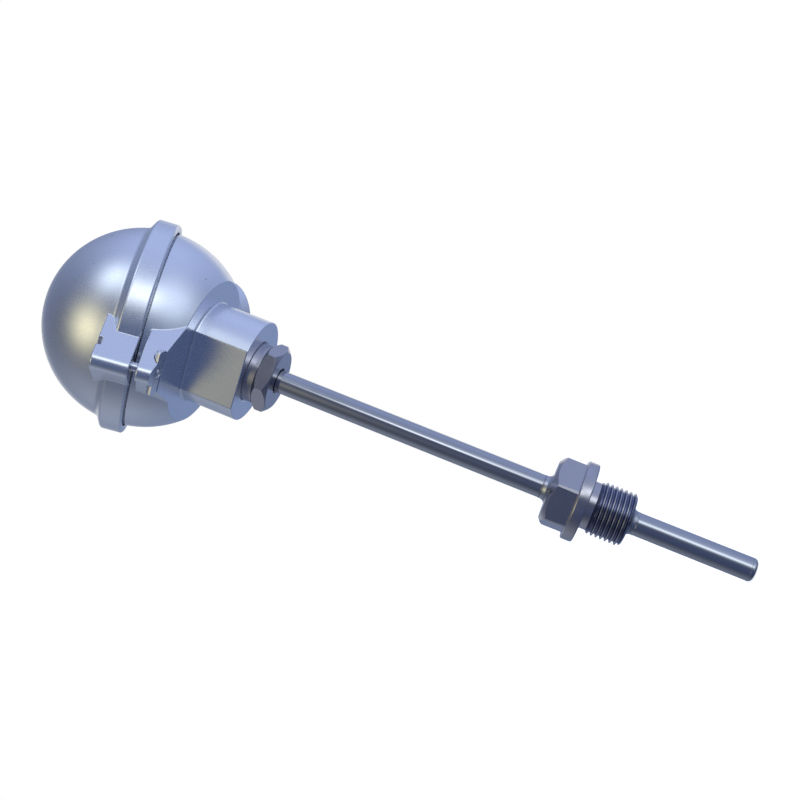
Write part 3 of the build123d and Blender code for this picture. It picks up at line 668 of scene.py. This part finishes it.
class THERMOMETER_OT_small_parts(bpy.types.Operator):
    """Give the screws, pins, terminals, ceramics and gasket their materials"""

    bl_idname = "thermometer.small_parts"
    bl_label = "Finish the small parts"

    def execute(self, context):
        plated = plated_steel("zinc_plate", *ZINC)
        for node in (
                "latch_bar", "cover_screw", "screw_washer", "screw_keeper", "hinge_pin", "insert_flange",
                "insert_screws", "insert_screw_nuts"):
            dress(node, plated)
        brass = plated_steel("terminal_brass", (0.78, 0.6, 0.3), 0.28)
        for node in ("terminals", "terminal_screws", "ground_screw", "ground_washer"):
            dress(node, brass)
        ceramic = glazed_ceramic("steatite")
        for node in ("terminal_block", "insulator_rod", "sensing_element"):
            dress(node, ceramic)
        dress("lead_wires", plated_steel("lead_metal", (0.75, 0.7, 0.63), 0.3))
        dress("cover_gasket", gasket_rubber("gasket_rubber"))
        return {"FINISHED"}


class THERMOMETER_OT_process_thread(bpy.types.Operator):
    """Cut the pipe thread on the process fitting"""

    bl_idname = "thermometer.process_thread"
    bl_label = "Cut the process thread"

    def execute(self, context):
        steel = context.scene.thermometer_steel
        sizes = context.scene.thermometer_threads
        finish = (steel.turned_colour, steel.turned_roughness, steel.tool_mark)
        material = turned_steel("turned_process_fitting", *finish, edge=0.08 * MM)
        cut = turned_steel("cut_thread", *finish, edge=0.0, shade_radius=sizes.pipe_radius)
        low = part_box("process_fitting")[0][2]
        thread = thread_piece("process_thread", cut, {
            "Radius": sizes.pipe_radius, "Depth": sizes.pipe_depth, "Pitch": sizes.pipe_pitch,
            "Length": THREAD_END - low, "Start": THREAD_LEAD_IN, "End": THREAD_LEAD_OUT},
            around=sizes.steps, along=170)
        thread.data.transform(Matrix.Translation((0.0, 0.0, low)))
        fitting = link_mesh(self.fitting_body(material), "process_fitting_body")
        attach(thread, "base")
        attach(fitting, "base")
        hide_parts("process_fitting")
        return {"FINISHED"}

    def fitting_body(self, material):
        """Copy the solid above the thread, break its corners and let its skin lap the thread's end."""
        upper = bmesh.new()
        upper.from_mesh(NODES["process_fitting"].data)
        bmesh.ops.remove_doubles(upper, verts=upper.verts, dist=JOIN)
        bmesh.ops.dissolve_limit(upper, angle_limit=FLAT, verts=upper.verts, edges=upper.edges)
        corners = [edge for edge in upper.edges if self.is_corner(edge)]
        bmesh.ops.bevel(upper, geom=corners, offset=CORNER_BREAK, segments=1, affect="EDGES", profile=0.5)
        trimmed = bmesh.ops.bisect_plane(
            upper, geom=upper.verts[:] + upper.edges[:] + upper.faces[:], plane_co=(0.0, 0.0, SKIN_CUT),
            plane_no=(0.0, 0.0, -1.0), clear_outer=True)
        rim = [edge for edge in trimmed["geom_cut"] if isinstance(edge, bmesh.types.BMEdge)]
        bmesh.ops.extrude_edge_only(upper, edges=rim)
        for vert in upper.verts:
            if vert.is_boundary:
                vert.co.z = SKIN_END
        body = bpy.data.meshes.new("process_fitting_body")
        upper.to_mesh(body)
        upper.free()
        body.materials.append(material)
        drop_normals(body)
        smooth_by_angle(body, 22.0)
        return body

    def is_corner(self, edge):
        """Tell whether an edge is one of the hexagon's six upright corners."""
        first, second = (vert.co for vert in edge.verts)
        upright = (first.xy - second.xy).length < CORNER_SLACK and abs(first.z - second.z) > CORNER_HEIGHT
        return upright and abs(first.xy.length - HEXAGON / math.sqrt(3.0)) < CORNER_SLACK


class THERMOMETER_OT_cover_screw_thread(bpy.types.Operator):
    """Cut the fine thread of the cover screw"""

    bl_idname = "thermometer.cover_screw_thread"
    bl_label = "Cut the cover screw's thread"

    def execute(self, context):
        sizes = context.scene.thermometer_threads
        material = plated_steel("zinc_plate_thread", *ZINC)
        thread = thread_piece("cover_screw_thread", material, {
            "Radius": SCREW_RADIUS, "Depth": SCREW_DEPTH, "Pitch": sizes.screw_pitch, "Length": SCREW_LENGTH,
            "Start": SCREW_LEAD, "End": SCREW_LEAD}, around=48, along=50)
        foot = BALL_CENTRE - COVER_BACK * SCREW_FORWARD - COVER_UP * SCREW_DOWN
        turned = COVER_UP.to_track_quat("Z", "Y").to_matrix().to_4x4()
        thread.data.transform(Matrix.Translation(foot) @ turned)
        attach(thread, "screw")
        return {"FINISHED"}


class THERMOMETER_OT_springs(bpy.types.Operator):
    """Wind the two springs of the measuring insert"""

    bl_idname = "thermometer.springs"
    bl_label = "Wind the springs"

    def execute(self, context):
        sizes = context.scene.thermometer_springs
        low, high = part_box("insert_springs")
        wire = sizes.wire / 2
        springs = plain_mesh(geometry_host(spring_tree(), {
            "Radius": sizes.outside / 2 - wire, "Wire": wire, "Turns": sizes.turns,
            "Height": high[2] - low[2] - 2 * wire, "Base": low[2] + wire, "Spread": SPRING_SPREAD,
            "Material": plated_steel("spring_wire", (0.5, 0.5, 0.52), 0.25)}), "coil_springs")
        smooth_by_angle(springs.data, 60.0)
        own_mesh(springs)
        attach(springs, "base")
        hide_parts("insert_springs")
        return {"FINISHED"}


class THERMOMETER_OT_studio(bpy.types.Operator):
    """Set the floor, the light and the camera"""

    bl_idname = "thermometer.studio"
    bl_label = "Set the studio"

    def execute(self, context):
        settings = context.scene.thermometer_studio
        scene = context.scene
        scene.view_settings.view_transform = "Standard"
        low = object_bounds()[0]
        floor = bpy.data.meshes.new("floor")
        shape = bmesh.new()
        bmesh.ops.create_grid(shape, x_segments=1, y_segments=1, size=FLOOR_HALF)
        shape.to_mesh(floor)
        shape.free()
        floor.transform(Matrix.Translation((0.0, 0.0, low[2] - settings.gap)))
        floor.materials.append(self.floor_material(settings))
        ground = link_mesh(floor, "floor")
        ground.visible_glossy = False
        ground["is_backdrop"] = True
        self.light(scene, settings)
        self.shadow_lamp(scene, settings)
        self.camera(scene, settings)
        return {"FINISHED"}

    def camera(self, scene, settings):
        """Camera that sees the object as the photograph does."""
        camera = bpy.data.cameras.new("camera")
        camera.lens = settings.lens
        camera.sensor_width = 36.0
        camera.clip_start = 0.01
        camera.clip_end = 50.0
        eye = bpy.data.objects.new("camera", camera)
        eye.matrix_world = Matrix.Translation(CAMERA_PLACE) @ Matrix(CAMERA_AXES).transposed().to_4x4()
        scene.collection.objects.link(eye)
        scene.camera = eye

    def floor_material(self, settings):
        """Pale matt floor, lit up for the camera so that it meets the white backdrop but keeps the shadow.

        From below it is clear, so that the underside can be looked at.
        """
        material, tree, shader = new_material("floor", metallic=0.0)[:3]
        shader.inputs["Base Color"].default_value = (*settings.floor_colour, 1.0)
        shader.inputs["Roughness"].default_value = 0.9
        shader.inputs["Specular IOR Level"].default_value = 0.0
        shader.inputs["Emission Color"].default_value = (1.0, 1.0, 1.0, 1.0)
        rays = tree.nodes.new("ShaderNodeLightPath")
        tree.links.new(
            calc(tree, "MULTIPLY", rays.outputs["Is Camera Ray"], settings.floor_glow),
            shader.inputs["Emission Strength"])
        clear = tree.nodes.new("ShaderNodeBsdfTransparent")
        mix = tree.nodes.new("ShaderNodeMixShader")
        tree.links.new(tree.nodes.new("ShaderNodeNewGeometry").outputs["Backfacing"], mix.inputs[0])
        tree.links.new(shader.outputs[0], mix.inputs[1])
        tree.links.new(clear.outputs[0], mix.inputs[2])
        tree.links.new(mix.outputs[0], tree.nodes["Material Output"].inputs["Surface"])
        return material

    def light(self, scene, settings):
        """White backdrop for the camera, and a room of broad soft lamps for everything else."""
        world = bpy.data.worlds.new("studio")
        scene.world = world
        world.use_nodes = True
        tree = world.node_tree
        tree.nodes.clear()
        way = tree.nodes.new("ShaderNodeTexCoord").outputs["Generated"]
        room = None
        for name, place, sharpness, colour in SOFT_LAMPS:
            lamp = soft_lamp(tree, way, name, place, sharpness, colour)
            room = lamp if room is None else vector_math(tree, "ADD", room, lamp)
        soft = tree.nodes.new("ShaderNodeBackground")
        soft.inputs["Strength"].default_value = settings.level
        tree.links.new(room, soft.inputs["Color"])
        white = tree.nodes.new("ShaderNodeBackground")
        white.inputs["Color"].default_value = (1.0, 1.0, 1.0, 1.0)
        white.inputs["Strength"].default_value = 1.0
        rays = tree.nodes.new("ShaderNodeLightPath")
        behind = vector_math(tree, "DOT_PRODUCT", way, BACKDROP)
        share = remap(tree, behind, *BACKDROP_FADE, 0.0, BACKDROP_SHARE, True)
        mirrored = calc(tree, "MULTIPLY", rays.outputs["Is Glossy Ray"], share)
        shown = calc(tree, "MAXIMUM", rays.outputs["Is Camera Ray"], rays.outputs["Is Transmission Ray"])
        mix = tree.nodes.new("ShaderNodeMixShader")
        tree.links.new(calc(tree, "MAXIMUM", shown, mirrored), mix.inputs[0])
        tree.links.new(soft.outputs[0], mix.inputs[1])
        tree.links.new(white.outputs[0], mix.inputs[2])
        out = tree.nodes.new("ShaderNodeOutputWorld")
        tree.links.new(mix.outputs[0], out.inputs[0])

    def shadow_lamp(self, scene, settings):
        """Square lamp that throws the shadow and is left out of reflections."""
        key = bpy.data.lights.new("key", "AREA")
        key.shape = "SQUARE"
        key.size = KEY_WIDTH
        key.energy = KEY_POWER * settings.level
        key.color = (0.95, 0.98, 1.0)
        lamp = bpy.data.objects.new("key", key)
        lamp.location = KEY_AIM + KEY_WAY
        lamp.rotation_mode = "QUATERNION"
        lamp.rotation_quaternion = KEY_WAY.to_track_quat("Z", "Y")
        lamp.visible_glossy = False
        scene.collection.objects.link(lamp)


class THERMOMETER_PT_panel(bpy.types.Panel):
    """Sizes, colours and steps of the thermometer"""

    bl_idname = "THERMOMETER_PT_panel"
    bl_label = "Thermometer"
    bl_space_type = "VIEW_3D"
    bl_region_type = "UI"
    bl_category = "Thermometer"

    def draw(self, context):
        for settings in SETTING_GROUPS:
            box = self.layout.box()
            group = getattr(context.scene, settings)
            for name in group.bl_rna.properties.keys():
                if name not in ("rna_type", "name"):
                    box.prop(group, name)
        for operator in OPERATORS:
            self.layout.operator(operator.bl_idname)


SETTING_GROUPS = {
    "thermometer_casting": ThermometerCasting,
    "thermometer_steel": ThermometerSteel,
    "thermometer_threads": ThermometerThreads,
    "thermometer_springs": ThermometerSprings,
    "thermometer_studio": ThermometerStudio,
}
OPERATORS = (
    THERMOMETER_OT_castings,
    THERMOMETER_OT_steel,
    THERMOMETER_OT_small_parts,
    THERMOMETER_OT_process_thread,
    THERMOMETER_OT_cover_screw_thread,
    THERMOMETER_OT_springs,
    THERMOMETER_OT_studio,
)


def register():
    """Register the classes and hang the settings on the scene."""
    for group in SETTING_GROUPS.values():
        bpy.utils.register_class(group)
    for operator in OPERATORS:
        bpy.utils.register_class(operator)
    bpy.utils.register_class(THERMOMETER_PT_panel)
    for name, group in SETTING_GROUPS.items():
        setattr(bpy.types.Scene, name, PointerProperty(type=group))


def unregister():
    """Take the settings and the classes away again."""
    for name in SETTING_GROUPS:
        delattr(bpy.types.Scene, name)
    bpy.utils.unregister_class(THERMOMETER_PT_panel)
    for operator in reversed(OPERATORS):
        bpy.utils.unregister_class(operator)
    for group in reversed(tuple(SETTING_GROUPS.values())):
        bpy.utils.unregister_class(group)


def main():
    """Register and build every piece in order."""
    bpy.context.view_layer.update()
    register()
    bpy.ops.thermometer.castings()
    bpy.ops.thermometer.steel()
    bpy.ops.thermometer.small_parts()
    bpy.ops.thermometer.process_thread()
    bpy.ops.thermometer.cover_screw_thread()
    bpy.ops.thermometer.springs()
    bpy.ops.thermometer.studio()


if __name__ == "__main__":
    main()
